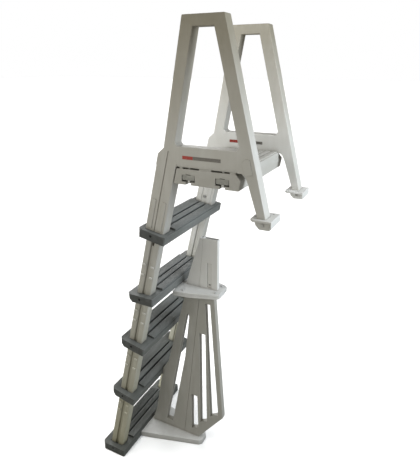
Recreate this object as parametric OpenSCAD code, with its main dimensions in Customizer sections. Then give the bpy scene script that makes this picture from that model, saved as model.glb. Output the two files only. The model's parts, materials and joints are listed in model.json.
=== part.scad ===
// In-pool ladder for an above-ground pool. Two moulded side frames, each a
// handrail loop with a side panel, a deck leg and a hollow rail sleeve, carry a
// small platform and the top tread. Two twin-tube lower rails slide in the
// sleeves and carry four treads and a central swim barrier.
// +X points to the pool deck, +Z up, the ladder is symmetric about Y = 0.

/* [Overall] */
// width over the outer faces of the two side frames, mm
outer_w = 462; // [450:1:480]
// thickness of a side frame across the ladder, mm
frame_t = 50; // [48:1:54]
// run of the rails towards the deck for each mm of rise
rail_run = 0.232; // [0.228:0.002:0.236]
// wall thickness of the hollow moulded frames, mm
frame_wall = 4.5; // [3.5:0.5:5]

/* [Handrail] */
// height of the top of the handrails above the pool floor, mm
top_z = 1945; // [1900:5:2000]
// height of the top bar of the handrail, mm
top_bar = 38; // [34:1:46]
// height of the bottom edge of the side panel, mm
panel_z0 = 1436; // [1434:1:1438]
// height of the top edge of the side panel, mm
panel_z1 = 1510; // [1506:1:1514]

/* [Rails] */
// width of a sleeve square to the rail, mm
sleeve_w = 82; // [80:1:86]
// width of one tube of the lower rail, mm
tube_w = 27; // [25:1:28]
// gap between the two tubes of a lower rail, mm
tube_gap = 12; // [11:1:14]
// depth of a lower rail across the ladder, mm
tube_d = 40; // [38:0.5:40]
// corner radius of a lower rail tube, mm
tube_r = 6; // [3:1:8]
// wall of a lower rail tube, mm
tube_wall = 3; // [2:0.5:4]
// clearance of the lower rail in its sleeve, mm each side
slide_gap = 0.5; // [0.4:0.1:0.6]
// clearance of the rails in the holes of the treads, mm each side
tread_gap = 0.5; // [0.4:0.1:1]
// height of the top end of a lower rail, mm
rail_top_z = 1355; // [1340:5:1360]
// length of slot each side of the rest position: closing, mm
travel_in = 100; // [60:5:100]
// length of slot each side of the rest position: opening, mm
travel_out = 50; // [20:5:50]

/* [Treads] */
// length of a tread across the ladder, mm
tread_l = 506; // [500:1:516]
// depth of a tread from pool side to deck side, mm
tread_w = 126; // [122:1:128]
// overall thickness of a tread, mm
tread_t = 40; // [38:1:42]
// cut corner of a tread in plan on the pool side, mm
tread_corner = 14; // [6:1:18]
// cut corner of a tread in plan on the deck side, mm
tread_deck_corner = 4; // [2:1:14]
// tilt of treads 1, 3 and 4 down towards the deck, degrees
tread_tilt = 11; // [8:1:12]
// width of the cut along the lower pool-side edge of treads 1 to 4, mm
tread_keel = 26; // [14:1:27]
// width of the grooves between the raised slats, mm
groove_w = 9; // [5:1:12]
// depth of the grooves below the slats, mm
groove_depth = 16; // [8:1:17]
// height of the centre of tread 1, the top tread, mm
tread_1_z = 1156; // [1156:1:1164]
// height of the centre of tread 2, mm
tread_2_z = 868; // [866:1:870]
// height of the centre of tread 3, mm
tread_3_z = 630; // [600:1:640]
// height of the centre of tread 4, mm
tread_4_z = 352; // [350:1:354]

/* [Platform] */
// height of the underside of the platform skirt, mm
skirt_z0 = 1372; // [1371:1:1374]
// height of the platform's standing surface, mm
deck_z = 1444; // [1442:1:1448]
// number of raised ribs on the platform
deck_ribs = 9; // [6:1:10]
// spacing of the two clamp fittings on each side, mm
clamp_pitch = 134; // [130:1:138]

/* [Barrier] */
// thickness of the barrier fin, mm
fin_t = 26; // [24:1:32]
// wall of the hollow fin and post, mm
fin_wall = 3.5; // [3:0.5:4]
// thickness of the base plate, mm
base_t = 27; // [25:1:30]
// thickness of each of the two flanges in the middle, mm
flange_t = 11; // [9:1:12]
// height of the open top of the post, mm
post_top_z = 1081; // [1070:1:1090]
// thickness of the post, mm
post_t = 22; // [21:1:26]

/* [Deck feet] */
// thickness of the plate of a deck foot, mm
foot_t = 8; // [6:1:10]
// size of a deck foot across the ladder, mm
foot_l = 100; // [96:1:110]
// diameter of the deck screw holes, mm
foot_hole_d = 7; // [5:0.5:8]
// distance between the two deck screw holes, mm
foot_hole_pitch = 44; // [40:1:46]

/* [Part] */
// which part to draw

/* [Hidden] */
$fn = 48;
lean = atan(rail_run);
rail_x0 = -359;
tread_zs = [tread_1_z, tread_2_z, tread_3_z, tread_4_z, tread_t / 2];
// treads 2 and 5 are held level by the barrier
tread_tilts = [tread_tilt, 0, tread_tilt, tread_tilt, 0];
tread_keels = [tread_keel / 2, tread_keel, tread_keel, tread_keel, 0];
frame_y = outer_w / 2 - frame_t / 2;
foot_x0 = 309;
foot_x1 = 387;
foot_z0 = 1279;
foot_z1 = foot_z0 + foot_t;
x_lo = rail_x(tread_t / 2) - tread_w / 2;
x_shift = -(x_lo + foot_x1) / 2;
rail_w = 2 * tube_w + tube_gap;
tube_x = (tube_w + tube_gap) / 2;
web_d = 24;
rail_low_z = 16;
sleeve_low_z = tread_1_z - tread_t / 2 + 4;
passage_top_z = 1470;
sleeve_end_z = 1448;
groove_top_z = 1490;
slat_half = 168;
cavity_top = 2;
slat_rise = 4;
rim = 6;
inner_half = 174;
rib_y = 76;
boss_l = 50;
screw_r = 2.4;
low_screw_z = 4;
lock_zs = [1205, 1260];
lock_r = 4;
lock_depth = 19;
bolt_gap = 0.4;
clamp_x = [132 - clamp_pitch / 2, 132 + clamp_pitch / 2];
clamp_y = outer_w / 2 - 15;
flange_top_z = tread_2_z - tread_t / 2;
flange_mid_z = flange_top_z - flange_t;
flange_low_z = flange_mid_z - flange_t;
leg_end_z = 1257;
leg_in_x = 341;
leg_out_x = 369;
bolt_x = 353;
bolt_z = 1269;

// ---------- helpers ----------

// x of the rail's centre line at height z
function rail_x(z) = rail_x0 + rail_run * z;

function unit(v) = v / norm(v);

// inward normal of the edge a to b of a counter-clockwise outline
function inward(a, b) = let (e = unit(b - a)) [-e[1], e[0]];

// counter-clockwise outline moved inwards by d (outwards when d is negative)
function inset(p, d) = [
    for (i = [0 : len(p) - 1])
        let (
            n1 = inward(p[(i + len(p) - 1) % len(p)], p[i]),
            n2 = inward(p[i], p[(i + 1) % len(p)])
        )
        p[i] + d * (n1 + n2) / (1 + n1 * n2)
];

function at(a, b, f) = a + (b - a) * f;

// draws an outline of the X-Z plane and extrudes it from y0 to y1
module side_shape(y0, y1) {
    translate([0, y1, 0])
        rotate([90, 0, 0])
            linear_extrude(y1 - y0)
                children();
}

// shifts a child so that the whole ladder is centred on X = 0
module placed() {
    translate([x_shift, 0, 0])
        children();
}

// both sides: draws the near child and its mirror image
module both_sides() {
    children();
    mirror([0, 1, 0])
        children();
}

// puts a child on the near rail's centre line at height z, its Z along the rail
module on_rail(z) {
    translate([rail_x(z), -frame_y, z])
        rotate([0, lean, 0])
            children();
}

module round_rect(w, d, r) {
    square([w - 2 * r, d], center = true);
    square([w, d - 2 * r], center = true);
    for (sx = [-1, 1])
        for (sy = [-1, 1])
            translate([sx * (w / 2 - r), sy * (d / 2 - r)])
                circle(r);
}

// outline of the twin-tube rail grown by c
module rail_section(c) {
    for (s = [-1, 1])
        translate([s * tube_x, 0])
            round_rect(tube_w + 2 * c, tube_d + 2 * c, tube_r + c);
    square([tube_gap + tube_w, web_d + 2 * c], center = true);
}

// hexagonal bolt head or nut of height h over corner radius r
module hex(r, h) {
    linear_extrude(h)
        circle(r, $fn = 6);
}

// ---------- side frames ----------

function leg_outer(z) = 204 + (top_z - z) * 0.24;
function leg_inner(z) = leg_outer(z) - 46;

frame_outline = [
    [49, top_z],
    [-34, 1501],
    [rail_x(1480) - sleeve_w / 2 / cos(lean), 1480],
    [rail_x(panel_z0) - sleeve_w / 2 / cos(lean), panel_z0],
    [272, panel_z0],
    [281, panel_z0 - 6],
    [292, panel_z0 - 28],
    [leg_in_x, leg_end_z],
    [leg_out_x, leg_end_z],
    [204, top_z]
];

opening_outline = [
    [14, panel_z1 + 10],
    [22, panel_z1],
    [leg_inner(panel_z1) - 12, panel_z1],
    [leg_inner(panel_z1 + 14), panel_z1 + 14],
    [leg_inner(top_z - top_bar), top_z - top_bar],
    [89, top_z - top_bar]
];

leg_pad = [
    [271, panel_z0 + 34],
    [284, panel_z0 + 50],
    [299, panel_z0 + 50],
    [311, panel_z0],
    [287, panel_z0 - 7]
];

leg_mouth = [
    [leg_in_x + 4, leg_end_z - 1],
    [leg_out_x - 5, leg_end_z - 1],
    [leg_out_x - 11, leg_end_z + 26],
    [leg_in_x - 4, leg_end_z + 26]
];

module sleeve_body() {
    on_rail(sleeve_low_z)
        linear_extrude((sleeve_end_z - sleeve_low_z) / cos(lean))
            round_rect(sleeve_w, frame_t, 4);
    // raised pads at the foot of the sleeve
    on_rail(sleeve_low_z + 40)
        for (s = [-1, 1])
            translate([s * 22, 0, 0])
                linear_extrude(120)
                    round_rect(18, frame_t + 6, 3);
}

module sleeve_passage() {
    on_rail(sleeve_low_z - 20)
        linear_extrude((passage_top_z - sleeve_low_z + 20) / cos(lean))
            rail_section(slide_gap);
}

// blind from the inner face, so that nothing shows on the outer face
module lock_holes() {
    for (z = lock_zs)
        on_rail(z)
            translate([0, -lock_depth, 0])
                rotate([-90, 0, 0])
                    cylinder(h = frame_t, r = lock_r + bolt_gap);
}

module side_frame() {
    difference() {
        union() {
            difference() {
                side_shape(-outer_w / 2, -outer_w / 2 + frame_t)
                    difference() {
                        polygon(frame_outline);
                        polygon(opening_outline);
                    }
                difference() {
                    side_shape(
                        -outer_w / 2 + frame_wall,
                        -outer_w / 2 + frame_t - frame_wall
                    )
                        difference() {
                            polygon(inset(frame_outline, frame_wall));
                            polygon(inset(opening_outline, -frame_wall));
                        }
                    // the core around the passage stays solid
                    on_rail(1418)
                        linear_extrude(76)
                            square([sleeve_w + 6, frame_t + 2], center = true);
                }
                side_shape(
                    -outer_w / 2 + frame_wall,
                    -outer_w / 2 + frame_t - frame_wall
                )
                    polygon(leg_mouth);
            }
            sleeve_body();
            // raised pad where the leg meets the panel
            side_shape(-outer_w / 2 - 2.5, -outer_w / 2 + 1)
                polygon(leg_pad);
        }
        // long chamfer on the lower outer edge of the panel
        translate([20, -outer_w / 2, panel_z0])
            rotate([90, 0, 90])
                linear_extrude(236)
                    polygon([[-1, -1], [3.5, -1], [3.5, 0], [0, 12], [-1, 12]]);
        sleeve_passage();
        lock_holes();
        // shallow centre groove in the outer face, up to the shoulder
        on_rail(sleeve_low_z - 10)
            linear_extrude((groove_top_z - sleeve_low_z + 10) / cos(lean))
                translate([0, -frame_t / 2])
                    square([4, 5], center = true);
        // holes for the platform bolts in the panel's lower wall
        for (x = clamp_x)
            translate([x, -clamp_y, panel_z0 - 1])
                cylinder(h = frame_wall + 2, r = 5 + bolt_gap);
        // cross hole for the foot bolt
        translate([bolt_x, -frame_y, bolt_z])
            rotate([90, 0, 0])
                cylinder(h = frame_t + 4, r = 3 + bolt_gap, center = true);
        // top tread's screw hole in the outer wall of the sleeve
        translate([rail_x(tread_1_z), -outer_w / 2 - 2, tread_1_z])
            rotate([-90, 0, 0])
                cylinder(h = 12, r = screw_r + 0.1);
    }
}

module side_frame_near() {
    color("#d9d6c8")
        placed()
            side_frame();
}

module side_frame_far() {
    color("#d9d6c8")
        placed()
            mirror([0, 1, 0])
                side_frame();
}

// flat strips on the faces of the side panels
module side_labels() {
    color("#4b4b4b")
        placed()
            both_sides()
                for (y = [-outer_w / 2 - 0.6, -outer_w / 2 + frame_t])
                    side_shape(y, y + 0.6)
                        polygon([[44, 1466], [194, 1466], [194, 1478], [44, 1478]]);
}

// ---------- platform ----------

function skirt_x(z) = rail_x(z) + sleeve_w / 2 / cos(lean) + 2.5;

skirt_top = panel_z0 - 6;
deck_x0 = skirt_x(deck_z);
deck_x1 = 268;
// the skirt's deck end slopes in towards its foot
skirt_outline = [
    [skirt_x(skirt_z0), skirt_z0],
    [deck_x1 - 7, skirt_z0],
    [deck_x1, skirt_top - 20],
    [deck_x1, skirt_top],
    [skirt_x(skirt_top), skirt_top]
];
deck_half = outer_w / 2 - frame_t - 1;
rib_pitch = (deck_x1 - deck_x0 - 8) / deck_ribs;

module clamp_cuts() {
    for (x = clamp_x) {
        // pocket open to the outer face
        translate([x - 26, -outer_w / 2, skirt_z0 + 11])
            cube([52, 30, 26]);
        // slot below it, open at the bottom
        translate([x - 10, -outer_w / 2, skirt_z0 - 1])
            cube([20, 27, 40]);
        translate([x, -clamp_y, skirt_z0])
            cylinder(h = 80, r = 5 + bolt_gap);
    }
}

module platform() {
    color("#d8d2bb")
        placed()
            difference() {
                union() {
                    side_shape(-outer_w / 2 + 2, outer_w / 2 - 2)
                        polygon(skirt_outline);
                    // raised standing surface between the side frames
                    translate([deck_x0, -deck_half, skirt_top - 1])
                        cube([deck_x1 - deck_x0, 2 * deck_half, deck_z - 4 - skirt_top + 1]);
                    for (i = [0 : deck_ribs - 1])
                        translate([deck_x0 + 4 + i * rib_pitch + 3, -deck_half + 6, deck_z - 5])
                            cube([rib_pitch - 6, 2 * deck_half - 12, 5]);
                    // pads that carry the side panels
                    both_sides()
                        for (x = [[30, 42], [108, 156], [226, 248]])
                            translate([x[0], -outer_w / 2 + 4, skirt_top - 1])
                                cube([x[1] - x[0], frame_t - 8, panel_z0 - skirt_top + 1]);
                }
                // closed hollow core in three bays
                for (y = [-117, 0, 117])
                    translate([32, y - 56, skirt_z0 + 5])
                        cube([222, 112, skirt_top - skirt_z0 - 4]);
                both_sides() {
                    clamp_cuts();
                    translate([100, -outer_w / 2 + 8, skirt_z0 + 5])
                        cube([64, frame_t - 12, skirt_top - skirt_z0 - 11]);
                    // cut corner of the side wings at the deck side
                    side_shape(-outer_w / 2, -deck_half)
                        polygon([
                            [deck_x1 - 18, skirt_top + 1], [deck_x1 - 18, skirt_top],
                            [deck_x1, skirt_top - 20], [deck_x1 + 1, skirt_top - 20],
                            [deck_x1 + 1, skirt_top + 1]
                        ]);
                }
            }
}

module platform_clamps() {
    color("#b9bcc0")
        placed()
            both_sides()
                for (x = clamp_x)
                    difference() {
                        translate([x - 24.5, -outer_w / 2 + 4, skirt_z0 + 16.5])
                            cube([49, 22, 20]);
                        translate([x, -clamp_y, skirt_z0])
                            cylinder(h = 80, r = 5 + bolt_gap);
                    }
}

module platform_bolts() {
    color("#a9acb0")
        placed()
            both_sides()
                for (x = clamp_x)
                    translate([x, -clamp_y, skirt_z0 + 8]) {
                        cylinder(h = 74, r = 5);
                        hex(9, 8);
                    }
}

module platform_nuts() {
    color("#a9acb0")
        placed()
            both_sides()
                for (x = clamp_x)
                    translate([x, -clamp_y, panel_z0 + frame_wall])
                        difference() {
                            hex(9.5, 8);
                            translate([0, 0, -1])
                                cylinder(h = 10, r = 5 + 0.1);
                        }
}

// ---------- deck feet ----------

boss_outline = [
    [323, foot_z0 + 1],
    [327, 1265],
    [341, 1251],
    [379, 1251],
    [379, foot_z0 + 1]
];

module deck_foot() {
    difference() {
        union() {
            difference() {
                translate([foot_x0, -outer_w / 2 - 16, foot_z0])
                    cube([foot_x1 - foot_x0, foot_l, foot_t]);
                // cut corners on the pool side
                for (y = [-outer_w / 2 - 16, -outer_w / 2 - 16 + foot_l])
                    translate([foot_x0, y, foot_z0])
                        rotate([0, 0, 45])
                            cube([14, 14, 60], center = true);
            }
            side_shape(-outer_w / 2 - 6, -outer_w / 2 + frame_t + 6)
                polygon(boss_outline);
            // turned-down lip on the deck side
            translate([foot_x1 - 5, -outer_w / 2 - 16, foot_z0 - 18])
                cube([5, foot_l, 20]);
        }
        side_shape(-outer_w / 2 - 0.5, -outer_w / 2 + frame_t + 0.5)
            polygon(socket_cut);
        translate([bolt_x, -frame_y, bolt_z])
            rotate([90, 0, 0])
                cylinder(h = frame_t + 40, r = 3 + bolt_gap, center = true);
        for (s = [-1, 1])
            translate([(foot_x0 + foot_x1) / 2 - 4 + s * foot_hole_pitch / 2, foot_hole_y, foot_z0 - 5])
                cylinder(h = foot_t + 10, r = foot_hole_d / 2);
    }
}

foot_hole_y = -outer_w / 2 - 16 + foot_l - 14;
leg_slope = (292 - leg_in_x) / (panel_z0 - 28 - leg_end_z);
socket_cut = [
    [leg_in_x - 0.5, leg_end_z - 0.3],
    [leg_out_x + 0.7, leg_end_z - 0.3],
    [leg_outer(1295) + 0.7, 1295],
    [leg_in_x + leg_slope * (1295 - leg_end_z) - 0.6, 1295]
];

module deck_foot_near() {
    color("#e2e2e2")
        placed()
            deck_foot();
}

module deck_foot_far() {
    color("#e2e2e2")
        placed()
            mirror([0, 1, 0])
                deck_foot();
}

module foot_bolts() {
    color("#a9acb0")
        placed()
            both_sides()
                translate([bolt_x, -outer_w / 2 - 6, bolt_z])
                    rotate([-90, 0, 0]) {
                        cylinder(h = frame_t + 20, r = 3);
                        translate([0, 0, -4])
                            hex(5.8, 4);
                    }
}

module foot_nuts() {
    color("#a9acb0")
        placed()
            both_sides()
                translate([bolt_x, -outer_w / 2 + frame_t + 6, bolt_z])
                    rotate([-90, 0, 0])
                        difference() {
                            hex(5.8, 5);
                            translate([0, 0, -1])
                                cylinder(h = 8, r = 3.1);
                        }
}

// ---------- lower rails ----------

nub_zs = [1012, 964, 792, 742, 552, 500, 282, 238];
nub_size = [14, 7, 8];
nub_proud = 5;

module lower_rail() {
    rail_len = (rail_top_z - rail_low_z) / cos(lean);
    difference() {
        union() {
            on_rail(rail_low_z)
                linear_extrude(rail_len)
                    difference() {
                        rail_section(0);
                        for (s = [-1, 1])
                            translate([s * tube_x, 0])
                                round_rect(
                                    tube_w - 2 * tube_wall,
                                    tube_d - 2 * tube_wall,
                                    tube_r - tube_wall / 2
                                );
                    }
            // small locating nubs below the treads
            for (z = nub_zs)
                on_rail(z)
                    for (s = [-1, 1])
                        translate([s * tube_x - nub_size[0] / 2, -tube_d / 2 - nub_proud, 0])
                            cube(nub_size);
        }
        // long slots in the web that the lock bolts run in
        on_rail(lock_zs[0])
            lock_slot();
        for (i = [1 : 4])
            translate([rail_x(tread_zs[i]), -outer_w / 2, screw_z(i)])
                rotate([-90, 0, 0])
                    cylinder(h = 30, r = screw_r + 0.1);
    }
}

lock_span = (lock_zs[1] - lock_zs[0]) / cos(lean);

module lock_slot() {
    z0 = -travel_in - 2;
    z1 = lock_span + travel_out + 2;
    translate([0, 0, z0])
        rotate([90, 0, 0])
            cylinder(h = tube_d + 2, r = lock_r + 0.8, center = true);
    translate([0, 0, z1])
        rotate([90, 0, 0])
            cylinder(h = tube_d + 2, r = lock_r + 0.8, center = true);
    translate([-lock_r - 0.8, -tube_d / 2 - 1, z0])
        cube([2 * lock_r + 1.6, tube_d + 2, z1 - z0]);
}

module lower_rail_near() {
    color("#d5d1bf")
        placed()
            lower_rail();
}

module lower_rail_far() {
    color("#d5d1bf")
        placed()
            mirror([0, 1, 0])
                lower_rail();
}

module rail_lock_bolts() {
    color("#a9acb0")
        placed()
            both_sides()
                for (z = lock_zs)
                    on_rail(z)
                        translate([0, -lock_depth + 1, 0])
                            rotate([-90, 0, 0]) {
                                cylinder(h = frame_t / 2 + lock_depth - 1, r = lock_r);
                                translate([0, 0, frame_t / 2 + lock_depth - 1])
                                    hex(7.5, 5.3);
                            }
}

// ---------- treads ----------

module tread_plan() {
    h = tread_l / 2;
    w = tread_w / 2;
    c = tread_corner;
    d = tread_deck_corner;
    polygon([
        [-w + c, -h], [w - d, -h], [w, -h + d], [w, h - d],
        [w - d, h], [-w + c, h], [-w, h - c], [-w, -h + c]
    ]);
}

// carries its children to the middle of tread i, tilted as that tread is
module on_tread(i) {
    translate([rail_x(tread_zs[i]), 0, tread_zs[i]])
        rotate([0, tread_tilts[i], 0])
            children();
}

// a tread centred on its own middle: boss_z is where the inner boss ends,
// keel is the width of the cut along the lower pool-side edge
module tread_blank(boss_z, seat_z, keel) {
    slat_top = tread_t / 2 + slat_rise;
    plank_top = tread_t / 2 - 5;
    low_z = -tread_t / 2;
    keel_z = plank_top - 5;
    cut_x = -tread_w / 2;
    // x of the wall behind the cut at height z
    function wall_x(z) = cut_x + keel * (keel_z - z) / (keel_z - low_z) + rim + 1;
    // the boss starts inside the wall, so the two never just touch
    boss_x = wall_x(low_z) - 3;
    difference() {
        union() {
            translate([0, 0, -tread_t / 2])
                linear_extrude(plank_top + tread_t / 2)
                    tread_plan();
            // the raised, slatted part between the rails
            translate([-tread_w / 2 + 4, -slat_half, plank_top - 1])
                cube([tread_w - 8, 2 * slat_half, slat_top - plank_top + 1]);
        }
        // two lengthwise grooves
        for (x = [-12, 21])
            translate([x - groove_w / 2, -slat_half - 1, slat_top - groove_depth])
                cube([groove_w, 2 * slat_half + 2, groove_depth + 1]);
        // cut along the lower pool-side edge
        if (keel > 0)
            side_shape(-tread_l / 2 - 1, tread_l / 2 + 1)
                polygon([
                    [cut_x - 1, keel_z], [cut_x - 1, low_z - 1],
                    [cut_x + keel, low_z - 1], [cut_x + keel, low_z], [cut_x, keel_z]
                ]);
        // hollow underside in three bays
        for (b = [[-inner_half, -rib_y - 4], [-rib_y + 4, rib_y - 4], [rib_y + 4, inner_half]])
            side_shape(b[0], b[1])
                polygon([
                    [wall_x(cavity_top), cavity_top],
                    [wall_x(low_z), low_z],
                    [wall_x(low_z), low_z - 1],
                    [tread_w / 2 - rim, low_z - 1],
                    [tread_w / 2 - rim, cavity_top]
                ]);
        // countersunk screw seats in the end faces
        both_sides()
            translate([0, -tread_l / 2 - 1, seat_z])
                rotate([-90, 0, 0])
                    cylinder(h = 9, r = 5);
        both_sides()
            translate([0, -tread_l / 2 + 8, seat_z])
                rotate([-90, 0, 0])
                    cylinder(h = 3, r1 = 4.8, r2 = screw_r + 0.1);
    }
    translate([boss_x, -boss_l, boss_z])
        cube([30 - boss_x, 2 * boss_l, cavity_top - boss_z + 1]);
}

module tread_at(i, boss_z, seat_z) {
    on_tread(i)
        tread_blank(boss_z, seat_z, tread_keels[i]);
}

module screw_bores(i, dz) {
    both_sides()
        translate([rail_x(tread_zs[i]), -tread_l / 2, tread_zs[i] + dz])
            rotate([-90, 0, 0])
                cylinder(h = 40, r = screw_r + 0.1);
}

module rail_holes(i) {
    both_sides()
        on_rail(tread_zs[i] - 60)
            linear_extrude(130)
                round_rect(rail_w + 2 * tread_gap, tube_d + 2 * tread_gap, tube_r);
}

module tread_1() {
    color("#5b6163")
        placed()
            difference() {
                tread_at(0, cavity_top - 2, 0);
                both_sides()
                    on_rail(sleeve_low_z - 60)
                        linear_extrude(150)
                            round_rect(sleeve_w + 2 * tread_gap, frame_t + 2 * tread_gap, 4);
                screw_bores(0, 0);
            }
}

module tread_2() {
    color("#5b6163")
        placed()
            difference() {
                tread_at(1, -tread_t / 2, 0);
                rail_holes(1);
                screw_bores(1, 0);
                for (s = [-1, 1])
                    translate([rail_x(tread_2_z) + 15, s * 34, tread_2_z - tread_t / 2 - 1])
                        cylinder(h = 16, r = screw_r + 0.1);
            }
}

module tread_3() {
    color("#5b6163")
        placed()
            difference() {
                tread_at(2, cavity_top - 2, 0);
                rail_holes(2);
                screw_bores(2, 0);
            }
}

module tread_4() {
    color("#5b6163")
        placed()
            difference() {
                tread_at(3, cavity_top - 2, 0);
                rail_holes(3);
                screw_bores(3, 0);
                on_tread(3)
                    translate([tread_w / 2 - 20, 0, lug_bolt_z])
                        rotate([0, 90, 0])
                            cylinder(h = 30, r = 4 + 0.2);
            }
}

module tread_5() {
    color("#5b6163")
        placed()
            difference() {
                tread_at(4, -8, low_screw_z);
                // blind sockets for the rail ends
                both_sides()
                    on_rail(rail_low_z - 0.3)
                        linear_extrude(90)
                            round_rect(rail_w + 5, tube_d + 5, tube_r + 2);
                screw_bores(4, low_screw_z);
                // notch for the tongue of the base plate
                translate([rail_x(tread_t / 2) + 20, -61, -1])
                    cube([60, 122, 13]);
                for (s = [-1, 1])
                    translate([rail_x(tread_t / 2) + 25, s * 34, 0])
                        cylinder(h = 24, r = screw_r + 0.1);
            }
}

function screw_z(i) = tread_zs[i] + (i == 4 ? low_screw_z : 0);

// one screw with a countersunk head, its head face at y = 0, pointing to +Y
module tread_screw(l) {
    rotate([-90, 0, 0]) {
        cylinder(h = l, r = screw_r);
        cylinder(h = 2.8, r1 = 4.6, r2 = screw_r);
    }
}

module tread_screws_upper() {
    color("#2c2f31")
        placed()
            both_sides()
                translate([rail_x(tread_1_z), -tread_l / 2 + 8, tread_1_z])
                    tread_screw(16);
}

module tread_screws_lower() {
    color("#2c2f31")
        placed()
            both_sides()
                for (i = [1 : 4])
                    translate([rail_x(tread_zs[i]), -tread_l / 2 + 8, screw_z(i)])
                        tread_screw(42.5);
}

// ---------- barrier ----------

// bolt between tread 4 and the fin, below the tread's middle
lug_bolt_z = -12;

// a point of tread 4's own section, x along the tread and z up from its middle
function tread_4_point(x, z) = [
    rail_x(tread_4_z) + x * cos(tread_tilts[3]) + z * sin(tread_tilts[3]),
    tread_4_z - x * sin(tread_tilts[3]) + z * cos(tread_tilts[3])
];
seam_low = [-97, base_t];
seam_high = [-5, flange_low_z];

front_outline = [
    [-73, flange_low_z],
    [-180, 408],
    tread_4_point(tread_w / 2, 20),
    tread_4_point(tread_w / 2, -60),
    [-256, 110],
    [-282, base_t],
    seam_low,
    seam_high
];

rear_outline = [
    seam_low,
    [-16, base_t],
    [-12, base_t + 8],
    [112, 190],
    [64, flange_low_z],
    seam_high
];

front_slots = [
    [[-200, 64], [-164, 64], [-87, 465], [-62, 682], [-67, 700], [-76, 688]]
];

rear_slots = [
    [[-56, 62], [-20, 80], [-24, 262], [-54, 262]],
    [[-7, 118], [27, 136], [20, 612], [-9, 612]],
    [[46, 172], [87, 196], [44, 770], [21, 770]]
];

module fin_shape(outline, slots) {
    difference() {
        side_shape(-fin_t / 2, fin_t / 2)
            difference() {
                polygon(outline);
                for (s = slots)
                    polygon(s);
            }
        side_shape(-fin_t / 2 + fin_wall, fin_t / 2 - fin_wall)
            difference() {
                polygon(inset(outline, fin_wall + 1));
                for (s = slots)
                    polygon(inset(s, -fin_wall));
                children();
            }
    }
}

seam_zs = [160, 480, 745];

module seam_holes() {
    for (z = seam_zs)
        translate([at(seam_low, seam_high, (z - base_t) / (flange_low_z - base_t))[0], 0, z])
            rotate([0, 90, 0])
                cylinder(h = 40, r = 3 + 0.2, center = true);
}

base_screw_x = [-236, -118, -44];

module barrier_fin_front() {
    color("#cfccba")
        placed()
            difference() {
                fin_shape(front_outline, front_slots) {
                    // solid lug behind tread 4
                    translate([tread_4_point(tread_w / 2, -60)[0] - 4, tread_4_z - 80])
                        square([54, 110]);
                    translate([-270, 0])
                        square([60, 52]);
                    translate([-136, 0])
                        square([80, 52]);
                    translate([-84, flange_low_z - 34])
                        square([160, 60]);
                }
                seam_holes();
                // blind hole for the bolt that comes through tread 4
                on_tread(3)
                    translate([tread_w / 2 - 1, 0, lug_bolt_z])
                        rotate([0, 90, 0])
                            cylinder(h = 29, r = 4 + 0.2);
                for (x = [base_screw_x[0], base_screw_x[1]])
                    translate([x, 0, base_t - 1])
                        cylinder(h = 23, r = 3 + 0.2);
                translate([fin_screw_x[0], 0, flange_low_z - 24])
                    cylinder(h = 30, r = 3 + 0.2);
            }
}

module barrier_fin_rear() {
    color("#cfccba")
        placed()
            difference() {
                fin_shape(rear_outline, rear_slots) {
                    translate([-114, 0])
                        square([106, 52]);
                    translate([-20, flange_low_z - 29])
                        square([160, 60]);
                }
                seam_holes();
                translate([base_screw_x[2], 0, base_t - 1])
                    cylinder(h = 23, r = 3 + 0.2);
                translate([fin_screw_x[1], 0, flange_low_z - 24])
                    cylinder(h = 30, r = 3 + 0.2);
            }
}

module barrier_seam_bolts() {
    color("#a9acb0")
        placed()
            for (z = seam_zs)
                translate([at(seam_low, seam_high, (z - base_t) / (flange_low_z - base_t))[0], 0, z])
                    rotate([0, 90, 0])
                        cylinder(h = 17, r = 3, center = true);
}

base_edge_x = rail_x(tread_t / 2) + tread_w / 2;
base_outline = [
    [base_edge_x, -112], [-242, -100], [-6, -32], [6, -20],
    [6, 20], [-6, 32], [-242, 100], [base_edge_x, 112]
];

module barrier_base_plate() {
    color("#e4e2da")
        placed()
            difference() {
                union() {
                    linear_extrude(base_t)
                        polygon(base_outline);
                    // tongue under the bottom tread
                    translate([base_edge_x - 48, -60, 0])
                        cube([60, 120, 12]);
                }
                for (x = base_screw_x)
                    translate([x, 0, -1])
                        cylinder(h = base_t + 2, r = 3 + 0.2);
                for (x = base_screw_x)
                    translate([x, 0, -1])
                        cylinder(h = 8, r = 7);
                for (s = [-1, 1])
                    translate([rail_x(tread_t / 2) + 25, s * 34, -1]) {
                        cylinder(h = 20, r = screw_r + 0.1);
                        cylinder(h = 6, r = 5.4);
                    }
            }
}

flange_edge_x = rail_x(tread_2_z) + tread_w / 2;
flange_outline = [
    [flange_edge_x - 1, -96], [-26, -86], [90, -50], [102, -40],
    [102, 40], [90, 50], [-26, 86], [flange_edge_x - 1, 96]
];
fin_screw_x = [-42, 32];
flange_bolts = [[-56, -72], [-56, 72], [80, -34], [80, 34]];

module flange_plate(z) {
    difference() {
        translate([0, 0, z])
            linear_extrude(flange_t)
                polygon(flange_outline);
        for (p = flange_bolts)
            translate([p[0], p[1], z - 1])
                cylinder(h = flange_t + 2, r = 3 + 0.2);
        }
}

module barrier_flange_lower() {
    color("#e4e2da")
        placed()
            difference() {
                flange_plate(flange_low_z);
                for (x = fin_screw_x)
                    translate([x, 0, flange_low_z - 1]) {
                        cylinder(h = flange_t + 2, r = 3 + 0.2);
                        translate([0, 0, flange_t - 4])
                            cylinder(h = 8, r = 6);
                    }
            }
}

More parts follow.
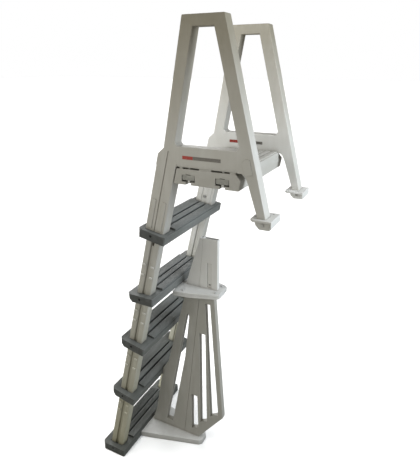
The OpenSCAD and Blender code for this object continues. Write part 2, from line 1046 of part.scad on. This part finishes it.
module barrier_flange_upper() {
    color("#e8e6de")
        placed()
            difference() {
                union() {
                    flange_plate(flange_mid_z);
                    // tongue under tread 2
                    translate([flange_edge_x - 62, -56, flange_mid_z])
                        cube([62, 112, flange_t]);
                }
                for (x = post_screw_x)
                    translate([x, 0, flange_mid_z - 1])
                        cylinder(h = flange_t + 2, r = 3 + 0.2);
                for (s = [-1, 1])
                    translate([rail_x(tread_2_z) + 15, s * 34, flange_mid_z - 1])
                        cylinder(h = 20, r = screw_r + 0.1);
            }
}

post_screw_x = [-46, 40];

// screws through both flanges into the tops of the fin halves
module barrier_flange_bolts() {
    color("#a9acb0")
        placed() {
            for (p = flange_bolts)
                translate([p[0], p[1], flange_low_z - 6]) {
                    cylinder(h = 2 * flange_t + 7, r = 3);
                    translate([0, 0, 2 * flange_t + 6])
                        hex(5.8, 4);
                }
            for (x = fin_screw_x)
                translate([x, 0, flange_low_z - 22]) {
                    cylinder(h = flange_t + 18, r = 3);
                    translate([0, 0, flange_t + 17.2])
                        cylinder(h = 4, r = 5.4);
                }
        }
}

module barrier_flange_nuts() {
    color("#a9acb0")
        placed()
            for (p = flange_bolts)
                translate([p[0], p[1], flange_low_z - 5])
                    difference() {
                        hex(5.8, 5);
                        translate([0, 0, -1])
                            cylinder(h = 7, r = 3.1);
                    }
}

post_seam_low = [-10, flange_top_z];
post_seam_high = [11, post_top_z];
recess_x = 29;
post_front_outline = [
    [-4, post_top_z], [-76, flange_top_z], post_seam_low, post_seam_high
];
post_rear_outline = [
    post_seam_low, [79, flange_top_z], [80, post_top_z], post_seam_high
];

// hollow half of the post, open at the top
module post_half(outline) {
    difference() {
        side_shape(-post_t / 2, post_t / 2)
            polygon(outline);
        children();
    }
}

module barrier_post_front() {
    color("#dedbd0")
        placed()
            difference() {
                post_half(post_front_outline)
                    side_shape(-post_t / 2 + fin_wall, post_t / 2 - fin_wall)
                        polygon([
                            [-4 + 5, post_top_z + 1],
                            [-76 + 10, flange_top_z + 8],
                            [-10 - 2.6, flange_top_z + 8],
                            [11 - 3.2, post_top_z + 1]
                        ]);
                translate([post_screw_x[0], 0, flange_top_z - 1])
                    cylinder(h = 17, r = 3 + 0.2);
            }
}

module barrier_post_rear() {
    color("#dedbd0")
        placed()
            difference() {
                side_shape(-post_t / 2, post_t / 2)
                    polygon(post_rear_outline);
                difference() {
                    side_shape(-post_t / 2 + fin_wall, post_t / 2 - fin_wall)
                        polygon([
                            [-10 + 4.2, flange_top_z + 8],
                            [79 - 3.4, flange_top_z + 8],
                            [80 - 3.4, post_top_z + 1],
                            [11 + 3.4, post_top_z + 1]
                        ]);
                    // walls around the fastener recess
                    translate([recess_x - 3, -post_t / 2 - 1, flange_top_z - 1])
                        cube([28, 10, 124]);
                }
                // recess that gives access to the screw at its foot
                translate([recess_x, -post_t / 2 - 1, flange_top_z + 4])
                    cube([22, 7, 116]);
                translate([post_screw_x[1], 0, flange_top_z - 1])
                    cylinder(h = 17, r = 3 + 0.2);
                // dark drain hole at the foot of the recess
                translate([recess_x + 11, -post_t / 2 + 4, flange_top_z + 17])
                    rotate([-90, 0, 0])
                        cylinder(h = 10, r = 4);
            }
}

// screws up through the upper flange into the post
module barrier_post_screws() {
    color("#a9acb0")
        placed()
            for (x = post_screw_x)
                translate([x, 0, flange_mid_z + 0.5])
                    cylinder(h = flange_t + 12, r = 3);
}

module barrier_base_screws() {
    color("#a9acb0")
        placed()
            for (x = base_screw_x)
                translate([x, 0, 2]) {
                    cylinder(h = base_t + 18, r = 3);
                    cylinder(h = 5, r = 6);
                }
}

// screws up into tread 5 and tread 2 through the tongues
module barrier_tread_screws() {
    color("#a9acb0")
        placed()
            for (s = [-1, 1]) {
                translate([rail_x(tread_t / 2) + 25, s * 34, 1]) {
                    cylinder(h = 21, r = screw_r);
                    cylinder(h = 4, r = 4.6);
                }
                translate([rail_x(tread_2_z) + 15, s * 34, flange_mid_z - 3]) {
                    cylinder(h = flange_t + 15, r = screw_r);
                    cylinder(h = 3, r = 4.6);
                }
            }
}

module barrier_lug_bolt() {
    color("#a9acb0")
        placed()
            on_tread(3)
                translate([tread_w / 2 - rim - 5.5, 0, lug_bolt_z])
                    rotate([0, 90, 0]) {
                        cylinder(h = 38, r = 4);
                        hex(7, 5.5);
                    }
}

side_frame_near();
side_frame_far();
platform();
platform_clamps();
platform_bolts();
platform_nuts();
deck_foot_near();
deck_foot_far();
foot_bolts();
foot_nuts();
lower_rail_near();
lower_rail_far();
tread_1();
tread_2();
tread_3();
tread_4();
tread_5();
tread_screws_upper();
tread_screws_lower();
rail_lock_bolts();
barrier_fin_front();
barrier_fin_rear();
barrier_base_plate();
barrier_flange_lower();
barrier_flange_upper();
barrier_post_front();
barrier_post_rear();
barrier_flange_bolts();
barrier_flange_nuts();
barrier_post_screws();
barrier_base_screws();
barrier_tread_screws();
barrier_lug_bolt();
barrier_seam_bolts();
side_labels();
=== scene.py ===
import json
import math

import bmesh
import bpy
from mathutils import Matrix, Vector


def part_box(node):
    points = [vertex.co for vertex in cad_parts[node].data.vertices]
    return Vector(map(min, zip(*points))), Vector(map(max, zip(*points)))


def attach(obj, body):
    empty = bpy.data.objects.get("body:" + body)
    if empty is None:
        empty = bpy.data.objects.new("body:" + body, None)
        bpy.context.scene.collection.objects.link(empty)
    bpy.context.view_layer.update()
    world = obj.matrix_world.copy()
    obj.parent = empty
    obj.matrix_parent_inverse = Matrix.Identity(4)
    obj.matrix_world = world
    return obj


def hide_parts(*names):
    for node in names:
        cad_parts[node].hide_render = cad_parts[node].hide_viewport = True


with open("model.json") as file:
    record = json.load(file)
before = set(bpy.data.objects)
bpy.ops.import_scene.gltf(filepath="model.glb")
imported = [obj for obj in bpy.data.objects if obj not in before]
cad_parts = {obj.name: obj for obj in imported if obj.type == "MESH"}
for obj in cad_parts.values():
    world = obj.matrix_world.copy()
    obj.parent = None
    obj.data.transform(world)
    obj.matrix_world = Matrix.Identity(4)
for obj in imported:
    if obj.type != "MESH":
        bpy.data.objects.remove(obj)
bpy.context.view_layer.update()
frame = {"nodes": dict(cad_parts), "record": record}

nodes = frame["nodes"]
bodies = frame["record"]["behaviour"]["bodies"]
body_of_node = {n: b for b, members in bodies.items() for n in members}
MM = 0.001


# ---------------------------------------------------------------- camera
CAMERA_PLACE = (0.8288, -1.5543, 1.7786)
CAMERA_DOWN = 15.855  # degrees below level
CAMERA_TURN = 26.505  # degrees from +Y towards -X
SENSOR_WIDTH = 36
LENS = 33.79
SHIFT_Y = -0.0889
CLIP_END = 200

cam_data = bpy.data.cameras.new("camera")
cam = bpy.data.objects.new("camera", cam_data)
bpy.context.scene.collection.objects.link(cam)
cam.location = CAMERA_PLACE
cam.rotation_euler = (math.radians(90 - CAMERA_DOWN), 0, math.radians(CAMERA_TURN))
cam_data.sensor_fit = "AUTO"
cam_data.sensor_width = SENSOR_WIDTH
cam_data.lens = LENS
cam_data.shift_y = SHIFT_Y
cam_data.clip_end = CLIP_END
bpy.context.scene.camera = cam


# ---------------------------------------------------------------- material helpers
CORNER_REACH = 22 * MM  # painted shade darkens the colour where a surface has another one this near


def rgb(r, g, b):
    return (r, g, b, 1.0)


class Graph:
    """a new material, with short ways to add nodes to it"""

    def __init__(self, name):
        self.mat = bpy.data.materials.new(name)
        self.mat.use_nodes = True
        self.tree = self.mat.node_tree
        self.shader = self.tree.nodes["Principled BSDF"]
        self.coords = self.add("ShaderNodeTexCoord").outputs["Object"]

    def add(self, kind, **values):
        node = self.tree.nodes.new(kind)
        for key, value in values.items():
            setattr(node, key, value)
        return node

    def link(self, source, socket):
        self.tree.links.new(source, socket)

    def put(self, socket, value):
        """links another socket to this one, or gives it a plain value"""
        if isinstance(value, bpy.types.NodeSocket):
            self.link(value, socket)
        else:
            socket.default_value = value

    def shade(self, name, value):
        self.put(self.shader.inputs[name], value)

    def axis(self, name):
        """the coordinate X, Y or Z in metres"""
        split = self.add("ShaderNodeSeparateXYZ")
        self.link(self.coords, split.inputs[0])
        return split.outputs[name]

    def from_middle(self):
        """distance from the ladder's middle plane"""
        return self.math("ABSOLUTE", self.axis("Y"))

    def math(self, operation, a, b=0.0):
        node = self.add("ShaderNodeMath", operation=operation)
        self.put(node.inputs[0], a)
        self.put(node.inputs[1], b)
        return node.outputs[0]

    def stretched(self, scale):
        node = self.add("ShaderNodeMapping")
        self.link(self.coords, node.inputs["Vector"])
        node.inputs["Scale"].default_value = scale
        return node.outputs["Vector"]

    def noise(self, scale, detail, rough, vector=None):
        node = self.add("ShaderNodeTexNoise")
        self.link(vector or self.coords, node.inputs["Vector"])
        node.inputs["Scale"].default_value = scale
        node.inputs["Detail"].default_value = detail
        node.inputs["Roughness"].default_value = rough
        return node.outputs["Fac"]

    def remap(self, value, from_min, from_max, to_min, to_max):
        node = self.add("ShaderNodeMapRange")
        self.link(value, node.inputs["Value"])
        node.inputs["From Min"].default_value = from_min
        node.inputs["From Max"].default_value = from_max
        node.inputs["To Min"].default_value = to_min
        node.inputs["To Max"].default_value = to_max
        return node.outputs["Result"]

    def mix(self, factor, a, b, blend="MIX"):
        node = self.add("ShaderNodeMix", data_type="RGBA", blend_type=blend)
        # inputs 6 and 7 and output 2 are the colours of this node
        self.put(node.inputs[0], factor)
        self.put(node.inputs[6], a)
        self.put(node.inputs[7], b)
        return node.outputs[2]

    def edges(self, radius):
        """1 on edges, 0 on flat areas; also returns the rounded normal"""
        bevel = self.add("ShaderNodeBevel", samples=6)
        bevel.inputs["Radius"].default_value = radius
        rounded = bevel.outputs[0]
        flat = self.add("ShaderNodeNewGeometry").outputs["Normal"]
        dot = self.add("ShaderNodeVectorMath", operation="DOT_PRODUCT")
        self.link(rounded, dot.inputs[0])
        self.link(flat, dot.inputs[1])
        return self.remap(dot.outputs["Value"], 0.995, 0.80, 0.0, 1.0), rounded

    def corners(self, amount):
        """painted shade: up to amount in the inner corners, 0 in the open, broken up by blots"""
        near = self.add("ShaderNodeAmbientOcclusion", samples=6)
        near.inputs["Distance"].default_value = CORNER_REACH
        corner = self.remap(near.outputs["AO"], 0.30, 0.92, amount, 0.0)
        blots = self.remap(self.noise(34.0, 4.0, 0.6), 0.25, 0.7, 0.55, 1.0)
        return self.math("MULTIPLY", corner, blots)

    def bump(self, layers, normal=None):
        """layers: (height socket, strength, distance)"""
        for height, strength, distance in layers:
            node = self.add("ShaderNodeBump")
            node.inputs["Strength"].default_value = strength
            node.inputs["Distance"].default_value = distance
            self.link(height, node.inputs["Height"])
            if normal is not None:
                self.link(normal, node.inputs["Normal"])
            normal = node.outputs["Normal"]
        self.shade("Normal", normal)


# ---------------------------------------------------------------- kinds of material
# the flow marks are long along one axis: Z for upright mouldings, Y for those across
FLOW_UP = (1.5, 1.5, 0.25)
FLOW_ACROSS = (1.5, 0.25, 1.5)
FLOW_TREAD = (1.5, 0.2, 1.5)
PROUD_BLEND = 2 * MM
SEAM_HALF_WIDTH = 0.7 * MM
SEAM_HEIGHT = 0.25 * MM
WAVE_HEIGHT = 1.0 * MM
RESIN_IOR = 1.49


def resin(name, base, dark, light, corner_shade_colour, rough=(0.38, 0.52), grain=1100.0, grain_depth=0.09 * MM,
          edge_radius=1.2 * MM, flow=FLOW_UP, corner_shade=0.50, proud=None, shade_by_height=None, seam=None):
    """moulded plastic: cloudy colour, flow marks, grain, painted highlights on the edges, painted
    shade in the corners

    proud: distance from the middle plane past which a highlight is painted on the surface
    shade_by_height: painted shade by height, as the height where its tint begins, the height where
    it is full, and the tint
    seam: distance of the mould's parting line from the middle plane
    """
    g = Graph(name)
    cloud = g.noise(5.0, 4.0, 0.6)
    streak = g.noise(26.0, 3.0, 0.5, g.stretched(flow))
    speck = g.noise(420.0, 2.0, 0.6)
    colour = g.mix(g.remap(cloud, 0.32, 0.68, 0.0, 1.0), dark, base)
    colour = g.mix(g.remap(streak, 0.45, 0.75, 0.0, 0.45), colour, light)
    colour = g.mix(g.remap(speck, 0.62, 0.80, 0.0, 0.22), colour, dark)
    edge, rounded = g.edges(edge_radius)
    # painted highlight on the edges, which are also made a little rougher
    edge_highlight = g.math("MULTIPLY", edge, g.remap(g.noise(55.0, 3.0, 0.6), 0.35, 0.65, 0.15, 0.75))
    colour = g.mix(edge_highlight, colour, light)
    # painted shade in the inner corners
    colour = g.mix(g.corners(corner_shade), colour, corner_shade_colour)
    # painted highlight on the surface that stands proud of the middle plane, such as the nubs
    if proud is not None:
        lighter = g.remap(g.from_middle(), proud, proud + PROUD_BLEND, 0.0, 0.8)
        colour = g.mix(lighter, colour, light)
    # painted shade that changes with height
    if shade_by_height is not None:
        start, full, tint = shade_by_height
        ripple = g.remap(g.noise(3.0, 3.0, 0.6), 0.3, 0.7, -0.04, 0.04)
        level = g.math("ADD", g.axis("Z"), ripple)
        colour = g.mix(g.remap(level, start, full, 0.0, 1.0), colour, tint, "MULTIPLY")
    g.shade("Base Color", colour)
    gloss = g.remap(g.noise(60.0, 4.0, 0.6), 0.3, 0.7, rough[0], rough[1])
    g.shade("Roughness", g.math("ADD", gloss, g.math("MULTIPLY", edge_highlight, 0.10)))
    g.shade("IOR", RESIN_IOR)
    waves = g.noise(9.0, 2.0, 0.5)
    fine = g.noise(grain, 3.0, 0.65)
    layers = [(waves, 0.25, WAVE_HEIGHT), (fine, 0.55, grain_depth)]
    if seam is not None:
        away = g.math("ABSOLUTE", g.math("SUBTRACT", g.from_middle(), seam))
        line = g.remap(away, 0.0, SEAM_HALF_WIDTH, 1.0, 0.0)
        layers.append((line, 0.5, SEAM_HEIGHT))
    g.bump(layers, rounded)
    return g.mat


def metal(name, base, dark, rough=(0.22, 0.42), metallic=1.0):
    """steel with brush marks, stains and painted highlights on the edges"""
    g = Graph(name)
    brushed = g.noise(320.0, 2.0, 0.5, g.stretched((1.0, 0.15, 1.0)))
    stain = g.noise(48.0, 5.0, 0.65)
    colour = g.mix(g.remap(stain, 0.45, 0.75, 0.0, 0.25), base, dark)
    colour = g.mix(g.remap(brushed, 0.3, 0.7, 0.0, 0.18), colour, dark)
    edge, rounded = g.edges(0.6 * MM)
    # painted highlight on the edges
    colour = g.mix(g.math("MULTIPLY", edge, 0.5), colour, rgb(0.86, 0.87, 0.88))
    g.shade("Base Color", colour)
    g.shade("Metallic", metallic)
    g.shade("Roughness", g.remap(stain, 0.3, 0.75, rough[0], rough[1]))
    g.bump([(brushed, 0.25, 0.04 * MM), (stain, 0.2, 0.10 * MM)], rounded)
    return g.mat


def two_tone_strip():
    """the plain printed strip in two colours, with fine wear"""
    g = Graph("label")
    lo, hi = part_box("side_labels")
    red = rgb(0.42, 0.035, 0.022)
    grey = rgb(0.165, 0.155, 0.140)
    lighter = rgb(0.55, 0.53, 0.49)
    red_share = 0.28
    colour_change = lo.x + (hi.x - lo.x) * red_share
    wear = g.noise(240.0, 4.0, 0.65)
    colour = g.mix(g.math("GREATER_THAN", g.axis("X"), colour_change), red, grey)
    colour = g.mix(g.remap(wear, 0.55, 0.8, 0.0, 0.5), colour, lighter)
    g.shade("Base Color", colour)
    g.shade("Roughness", g.remap(wear, 0.3, 0.7, 0.35, 0.55))
    g.bump([(wear, 0.3, 0.08 * MM)])
    return g.mat


# ---------------------------------------------------------------- materials
# painted shade: the handrails turn darker and browner towards the top
frame_mat = resin(
    "frame_resin",
    base=rgb(0.550, 0.540, 0.508), dark=rgb(0.512, 0.501, 0.465),
    light=rgb(0.630, 0.625, 0.606), corner_shade_colour=rgb(0.265, 0.245, 0.195),
    corner_shade=0.70, shade_by_height=(1.50, 1.93, rgb(0.56, 0.52, 0.43)), seam=206 * MM)
# painted shade: the rails turn darker and olive towards the pool floor; and a painted highlight
# lightens their nubs
rail_mat = resin(
    "rail_resin",
    base=rgb(0.524, 0.518, 0.488), dark=rgb(0.483, 0.476, 0.442),
    light=rgb(0.704, 0.701, 0.685), corner_shade_colour=rgb(0.225, 0.210, 0.170),
    corner_shade=0.65, proud=226.5 * MM, shade_by_height=(1.05, 0.05, rgb(0.88, 0.86, 0.68)))
platform_mat = resin(
    "platform_resin",
    base=rgb(0.475, 0.466, 0.434), dark=rgb(0.440, 0.430, 0.396),
    light=rgb(0.537, 0.532, 0.514), corner_shade_colour=rgb(0.275, 0.255, 0.205),
    flow=FLOW_ACROSS)
foot_mat = resin(
    "foot_resin",
    base=rgb(0.630, 0.625, 0.605), dark=rgb(0.585, 0.578, 0.555),
    light=rgb(0.720, 0.720, 0.710), corner_shade_colour=rgb(0.300, 0.285, 0.245))
barrier_mat = resin(
    "barrier_resin",
    base=rgb(0.470, 0.462, 0.425), dark=rgb(0.432, 0.423, 0.385),
    light=rgb(0.560, 0.555, 0.530), corner_shade_colour=rgb(0.230, 0.213, 0.170))
plate_mat = resin(
    "plate_resin",
    base=rgb(0.700, 0.697, 0.680), dark=rgb(0.645, 0.640, 0.620),
    light=rgb(0.770, 0.770, 0.760), corner_shade_colour=rgb(0.290, 0.275, 0.235))
# a lighter copy of the plate resin: painted light on the posts
post_lit_mat = resin(
    "posts_lit_resin",
    base=rgb(0.830, 0.828, 0.812), dark=rgb(0.765, 0.760, 0.740),
    light=rgb(0.880, 0.880, 0.870), corner_shade_colour=rgb(0.345, 0.328, 0.280))
# painted shade: the treads darken towards the pool floor
tread_mat = resin(
    "tread_resin",
    base=rgb(0.180, 0.190, 0.185), dark=rgb(0.145, 0.151, 0.145),
    light=rgb(0.280, 0.293, 0.291), corner_shade_colour=rgb(0.026, 0.026, 0.023),
    rough=(0.42, 0.60), grain=900.0, grain_depth=0.14 * MM, edge_radius=1.5 * MM,
    flow=FLOW_TREAD, shade_by_height=(1.10, 0.0, rgb(0.72, 0.72, 0.68)))
steel_mat = metal("bright_steel", rgb(0.60, 0.60, 0.59), rgb(0.42, 0.42, 0.40), metallic=0.35)
# a darker copy of the bright steel, with painted shade on the clamps
clamp_shaded_mat = metal("clamp_steel_shaded", rgb(0.30, 0.30, 0.285), rgb(0.17, 0.17, 0.16), rough=(0.40, 0.58))
dark_mat = metal("dark_steel", rgb(0.16, 0.16, 0.16), rgb(0.06, 0.055, 0.05), rough=(0.32, 0.55))
strip_mat = two_tone_strip()

# the material, the slot in the record and the nodes that have them
FINISHES = (
    (frame_mat, "frame_resin", ("side_frame_near", "side_frame_far")),
    (strip_mat, "label", ("side_labels",)),
    (platform_mat, "platform_resin", ("platform",)),
    (clamp_shaded_mat, "bright_steel", ("platform_clamps",)),
    (foot_mat, "foot_resin", ("deck_foot_near", "deck_foot_far")),
    (rail_mat, "rail_resin", ("lower_rail_near", "lower_rail_far")),
    (tread_mat, "tread_resin", ("tread_1", "tread_2", "tread_3", "tread_4", "tread_5")),
    (dark_mat, "dark_steel", ("tread_screws_upper", "tread_screws_lower")),
    (barrier_mat, "barrier_resin", ("barrier_fin_front", "barrier_fin_rear")),
    (post_lit_mat, "plate_resin", ("barrier_post_front", "barrier_post_rear")),
    (plate_mat, "plate_resin",
     ("barrier_base_plate", "barrier_flange_lower", "barrier_flange_upper")),
)
# every other node is a bright screw, bolt or nut
finish = {name: (steel_mat, "bright_steel") for name in nodes}
for mat, slot, names in FINISHES:
    for name in names:
        finish[name] = (mat, slot)
for name, obj in nodes.items():
    obj.data.materials.clear()
    obj.data.materials.append(finish[name][0])


# ---------------------------------------------------------------- refined pieces
MERGE_DISTANCE = 0.02 * MM
FLAT_ANGLE = math.radians(0.5)  # faces this close in direction are one face
ROUND_ANGLE = math.radians(28)  # outer edges sharper than this are rounded
ROUND_SEGMENTS = 3
NEIGHBOUR_RADII = 1.6  # the edges next to a rounded one are at least this many radii long
CREASE_ANGLE = math.radians(38)  # edges sharper than this aren't smoothed over


def cleaned(name):
    """a node's mesh with the triangles of each flat face joined again"""
    bm = bmesh.new()
    bm.from_mesh(nodes[name].data)
    bmesh.ops.remove_doubles(bm, verts=bm.verts, dist=MERGE_DISTANCE)
    bmesh.ops.dissolve_limit(bm, angle_limit=FLAT_ANGLE, use_dissolve_boundaries=False,
                             verts=bm.verts, edges=bm.edges)
    return bm


def soften(bm, radius, shortest):
    """rounds the long outer edges and leaves the small features crisp"""
    chosen = []
    for e in bm.edges:
        if len(e.link_faces) != 2 or e.calc_length() < shortest:
            continue
        if e.calc_face_angle_signed(0.0) < ROUND_ANGLE:
            continue
        near = [o.calc_length() for v in e.verts for o in v.link_edges if o is not e]
        if near and min(near) < NEIGHBOUR_RADII * radius:
            continue
        chosen.append(e)
    if chosen:
        bmesh.ops.bevel(bm, geom=chosen, offset=radius, offset_type="OFFSET",
                        segments=ROUND_SEGMENTS, profile=0.5, affect="EDGES",
                        clamp_overlap=False)


def finish_mesh(bm, name, mat):
    """makes an object that is smooth between its creases"""
    bm.normal_update()
    for f in bm.faces:
        f.smooth = True
    for e in bm.edges:
        e.smooth = not (len(e.link_faces) == 2 and e.calc_face_angle(0.0) > CREASE_ANGLE)
    mesh = bpy.data.meshes.new(name)
    bm.to_mesh(mesh)
    bm.free()
    mesh.materials.append(mat)
    obj = bpy.data.objects.new(name, mesh)
    bpy.context.scene.collection.objects.link(obj)
    weighted = obj.modifiers.new("weighted", "WEIGHTED_NORMAL")
    weighted.keep_sharp = True
    return obj


def stand_in(bm, node):
    """makes the piece that is seen in place of a node"""
    obj = finish_mesh(bm, node + "_moulded", finish[node][0])
    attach(obj, body_of_node[node])
    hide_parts(node)


def ridge(bm, x0, x1, y0, y1, z0, z1, taper):
    """one small moulded rib along Y with sloped flanks and ends"""
    xa, xb = x0 + taper, x1 - taper
    ya, yb = y0 + taper, y1 - taper
    low = [bm.verts.new((x, y, z0)) for x, y in ((x0, y0), (x1, y0), (x1, y1), (x0, y1))]
    high = [bm.verts.new((x, y, z1)) for x, y in ((xa, ya), (xb, ya), (xb, yb), (xa, yb))]
    bm.faces.new(high)
    bm.faces.new(low[::-1])
    for i in range(4):
        j = (i + 1) % 4
        bm.faces.new((low[i], low[j], high[j], high[i]))


def plank_tilt(bm):
    """angle about Y of the flat top faces"""
    up = Vector((0, 0, 0))
    for f in bm.faces:
        if f.normal.z > 0.9:
            up += f.normal * f.calc_area()
    return math.atan2(up.x, up.z)


# the three raised slats of a tread, in mm across it from its middle
SLATS = ((-59, -16.5), (-7.5, 16.5), (25.5, 59))
SLAT_MARGIN = 3  # mm at each edge of a slat that have no ribs
RIB_PITCH = 4.4  # mm, the least distance between two ribs
RIB_HALF_WIDTH = 1.1 * MM
RIB_HALF_LENGTH = 158 * MM
RIB_SINK = 0.3 * MM
RIB_RISE = 0.45 * MM
RIB_TAPER = 0.5 * MM
TREAD_RADIUS = 2.0 * MM
TREAD_SHORTEST = 8 * MM


def tread(node):
    """a tread with soft edges and ribs on its slats, worked on level and tilted back"""
    lo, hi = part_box(node)
    centre = (lo + hi) / 2
    bm = cleaned(node)
    tilt = plank_tilt(bm)
    bmesh.ops.rotate(bm, cent=centre, matrix=Matrix.Rotation(-tilt, 3, "Y"), verts=bm.verts)
    xs = [v.co.x for v in bm.verts]
    middle = (min(xs) + max(xs)) / 2
    top = max(v.co.z for v in bm.verts)
    soften(bm, TREAD_RADIUS, TREAD_SHORTEST)
    for start, end in SLATS:
        ribbed = end - start - 2 * SLAT_MARGIN
        count = int(ribbed // RIB_PITCH)
        pitch = ribbed / count
        for k in range(count):
            x = middle + (start + SLAT_MARGIN + pitch * (k + 0.5)) * MM
            ridge(bm, x - RIB_HALF_WIDTH, x + RIB_HALF_WIDTH, -RIB_HALF_LENGTH, RIB_HALF_LENGTH,
                  top - RIB_SINK, top + RIB_RISE, RIB_TAPER)
    bmesh.ops.rotate(bm, cent=centre, matrix=Matrix.Rotation(tilt, 3, "Y"), verts=bm.verts)
    stand_in(bm, node)


for i in range(1, 6):
    tread(f"tread_{i}")

# the other nodes with soft edges: radius and shortest rounded edge in mm
SOFTENED = (
    ("side_frame_near", 3.0, 12),
    ("side_frame_far", 3.0, 12),
    ("platform", 2.0, 10),
    ("lower_rail_near", 1.6, 10),
    ("lower_rail_far", 1.6, 10),
    ("deck_foot_near", 1.5, 8),
    ("deck_foot_far", 1.5, 8),
    ("platform_clamps", 1.2, 8),
    ("barrier_fin_front", 2.5, 10),
    ("barrier_fin_rear", 2.5, 10),
    ("barrier_post_front", 1.6, 10),
    ("barrier_post_rear", 1.6, 10),
    ("barrier_base_plate", 2.5, 10),
    ("barrier_flange_lower", 1.8, 10),
    ("barrier_flange_upper", 1.8, 10),
)
for node, radius, shortest in SOFTENED:
    bm = cleaned(node)
    soften(bm, radius * MM, shortest * MM)
    stand_in(bm, node)


# ---------------------------------------------------------------- floor
FLOOR_HALF = 60.0
FLOOR_DROP = 0.6 * MM  # the floor lies just under the faces that stand on it


def floor():
    """a floor that looks white but throws little light back on the undersides"""
    g = Graph("floor")
    cloud = g.remap(g.noise(1.2, 3.0, 0.5), 0.3, 0.7, 0.0, 1.0)
    pale = g.mix(cloud, rgb(0.93, 0.93, 0.93), rgb(0.945, 0.945, 0.945))
    dull = rgb(0.22, 0.22, 0.209)
    seen = g.add("ShaderNodeLightPath").outputs["Is Camera Ray"]
    g.shade("Base Color", g.mix(seen, dull, pale))
    g.shade("Roughness", 0.9)
    g.shade("Specular IOR Level", 0.1)
    mesh = bpy.data.meshes.new("floor")
    s = FLOOR_HALF
    mesh.from_pydata([(-s, -s, 0), (s, -s, 0), (s, s, 0), (-s, s, 0)], [], [(0, 1, 2, 3)])
    mesh.materials.append(g.mat)
    obj = bpy.data.objects.new("floor", mesh)
    obj.location.z = -FLOOR_DROP
    bpy.context.scene.collection.objects.link(obj)
    return obj


# ---------------------------------------------------------------- world
SURROUND_STRENGTH = 0.15


def studio_world():
    """a dim, warm surround that is white to the camera"""
    world = bpy.data.worlds.new("studio")
    world.use_nodes = True
    bpy.context.scene.world = world
    tree = world.node_tree
    surround = tree.nodes["Background"]
    surround.inputs["Color"].default_value = rgb(1.0, 0.955, 0.865)
    surround.inputs["Strength"].default_value = SURROUND_STRENGTH
    white = tree.nodes.new("ShaderNodeBackground")
    white.inputs["Color"].default_value = rgb(1.0, 1.0, 1.0)
    white.inputs["Strength"].default_value = 1.0
    path = tree.nodes.new("ShaderNodeLightPath")
    blend = tree.nodes.new("ShaderNodeMixShader")
    tree.links.new(path.outputs["Is Camera Ray"], blend.inputs[0])
    tree.links.new(surround.outputs[0], blend.inputs[1])
    tree.links.new(white.outputs[0], blend.inputs[2])
    tree.links.new(blend.outputs[0], tree.nodes["World Output"].inputs["Surface"])


# ---------------------------------------------------------------- lights
WHITE = (1.0, 1.0, 1.0)
COOL = (0.87, 0.94, 1.0)
PALE_BLUE = (0.94, 0.97, 1.0)
WARM = (1.0, 0.975, 0.865)
FAR_SIDE = ("side_frame_far_moulded", "lower_rail_far_moulded", "deck_foot_far_moulded")


def lamp(name, kind, energy, colour, towards):
    data = bpy.data.lights.new(name, kind)
    data.energy = energy
    data.color = colour
    obj = bpy.data.objects.new(name, data)
    obj.rotation_euler = Vector(towards).to_track_quat("-Z", "Y").to_euler()
    bpy.context.scene.collection.objects.link(obj)
    return obj


def sun(name, towards, strength, colour, spread):
    """light from one direction, with its shadows softened by the spread in degrees"""
    obj = lamp(name, "SUN", strength, colour, towards)
    obj.data.angle = math.radians(spread)
    return obj


def panel(name, place, target, power, colour, size):
    """a square soft light that faces a target"""
    obj = lamp(name, "AREA", power, colour, Vector(target) - Vector(place))
    obj.data.size = size
    obj.location = place
    return obj


def light_only(light, name, lit):
    """lets a light reach nothing but the objects in lit"""
    group = bpy.data.collections.new(name)
    for obj in lit:
        group.objects.link(obj)
    light.light_linking.receiver_collection = group


ground = floor()
studio_world()

# the key stands on the deck side, high up, so its light falls off towards the pool floor
panel("key", (1.7, 0.05, 1.75), (-0.1, 0.0, 1.1), 29, COOL, 0.9)

# the front panel passes over the treads and their screws, which stay dark from the near side
front = panel("front", (-0.7, -2.0, 1.7), (-0.15, -0.2, 0.95), 13, WARM, 1.4)
meshes = [obj for obj in bpy.context.scene.objects if obj.type == "MESH"]
light_only(front, "light_parts", [obj for obj in meshes if not obj.name.startswith("tread_")])

# the back sun is for the sides that the photo doesn't show
sun("back", (0.75, -0.60, -0.25), 1.5, WHITE, 50)
sun("overhead", (0.05, 0.10, -1.0), 1.05, WHITE, 50)

# the inner faces of the far side are bright in the photo
far_fill = sun("far_fill", (0.25, 1.0, -0.30), 2.2, PALE_BLUE, 50)
light_only(far_fill, "far_side", [bpy.data.objects[name] for name in FAR_SIDE])

# the floor is lit until it is white
floor_wash = sun("floor_wash", (0.0, 0.0, -1.0), 2.6, WHITE, 60)
light_only(floor_wash, "ground", [ground])

bpy.context.scene.view_settings.view_transform = "Standard"
